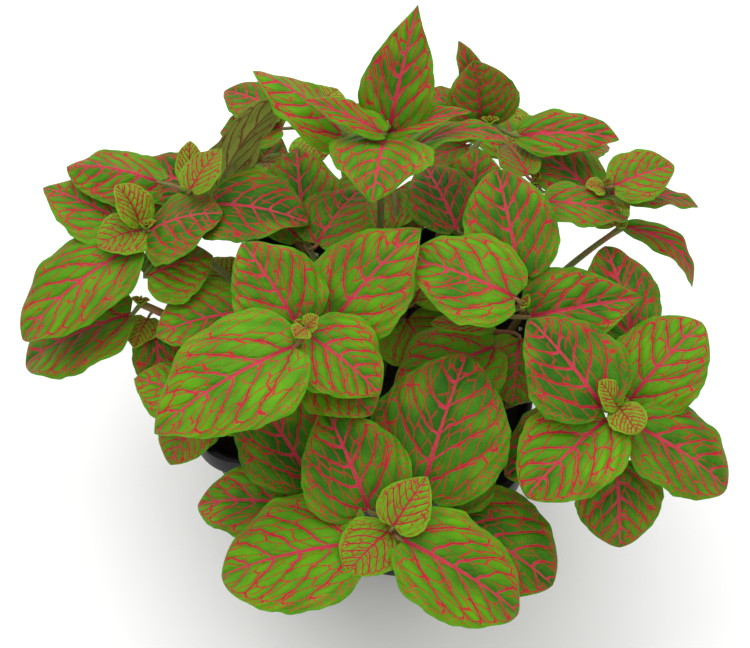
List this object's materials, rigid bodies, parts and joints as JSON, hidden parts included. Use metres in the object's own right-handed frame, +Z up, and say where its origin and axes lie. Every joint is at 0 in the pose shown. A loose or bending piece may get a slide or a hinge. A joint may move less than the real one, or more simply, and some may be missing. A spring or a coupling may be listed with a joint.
{
  "type": "potted nerve plant",
  "caption": "Small spreading houseplant with veined leaves on leafy stems, in a square plastic nursery pot filled with soil.",
  "frame": {"origin": "middle of the pot's underside, on the surface that the pot stands on", "axes": "+Z up, -Y towards the front, +X to the right as seen from the front"},
  "size_m": [0.2336, 0.2203, 0.1751],
  "materials": {
    "pot_plastic": "satin",
    "soil": "matte",
    "leaves": "satin"
  },
  "bodies": {
    "root": {"pot": "pot_plastic", "soil": "soil", "leafy_stem_front": "leaves", "leafy_stem_front_left_low": "leaves", "leafy_stem_front_right_low": "leaves", "leafy_stem_middle_left": "leaves", "leafy_stem_left_inner": "leaves", "leafy_stem_left": "leaves", "leafy_stem_left_low": "leaves", "leafy_stem_left_back": "leaves", "leafy_stem_back_top": "leaves", "leafy_stem_middle_right": "leaves", "leafy_stem_middle_back_low": "leaves", "leafy_stem_right_inner": "leaves", "leafy_stem_right": "leaves", "leafy_stem_right_low": "leaves", "leafy_stem_right_back": "leaves", "leafy_stem_back_right": "leaves", "leafy_stem_right_back_drooping": "leaves", "leafy_stem_middle_low": "leaves", "leafy_stem_centre_back": "leaves", "leafy_stem_back_left": "leaves", "leafy_stem_centre": "leaves", "leafy_stem_front_left_rim": "leaves", "leafy_stem_rear_left": "leaves", "leafy_stem_rear": "leaves", "leafy_stem_rear_right": "leaves"}
  },
  "joints": []
}
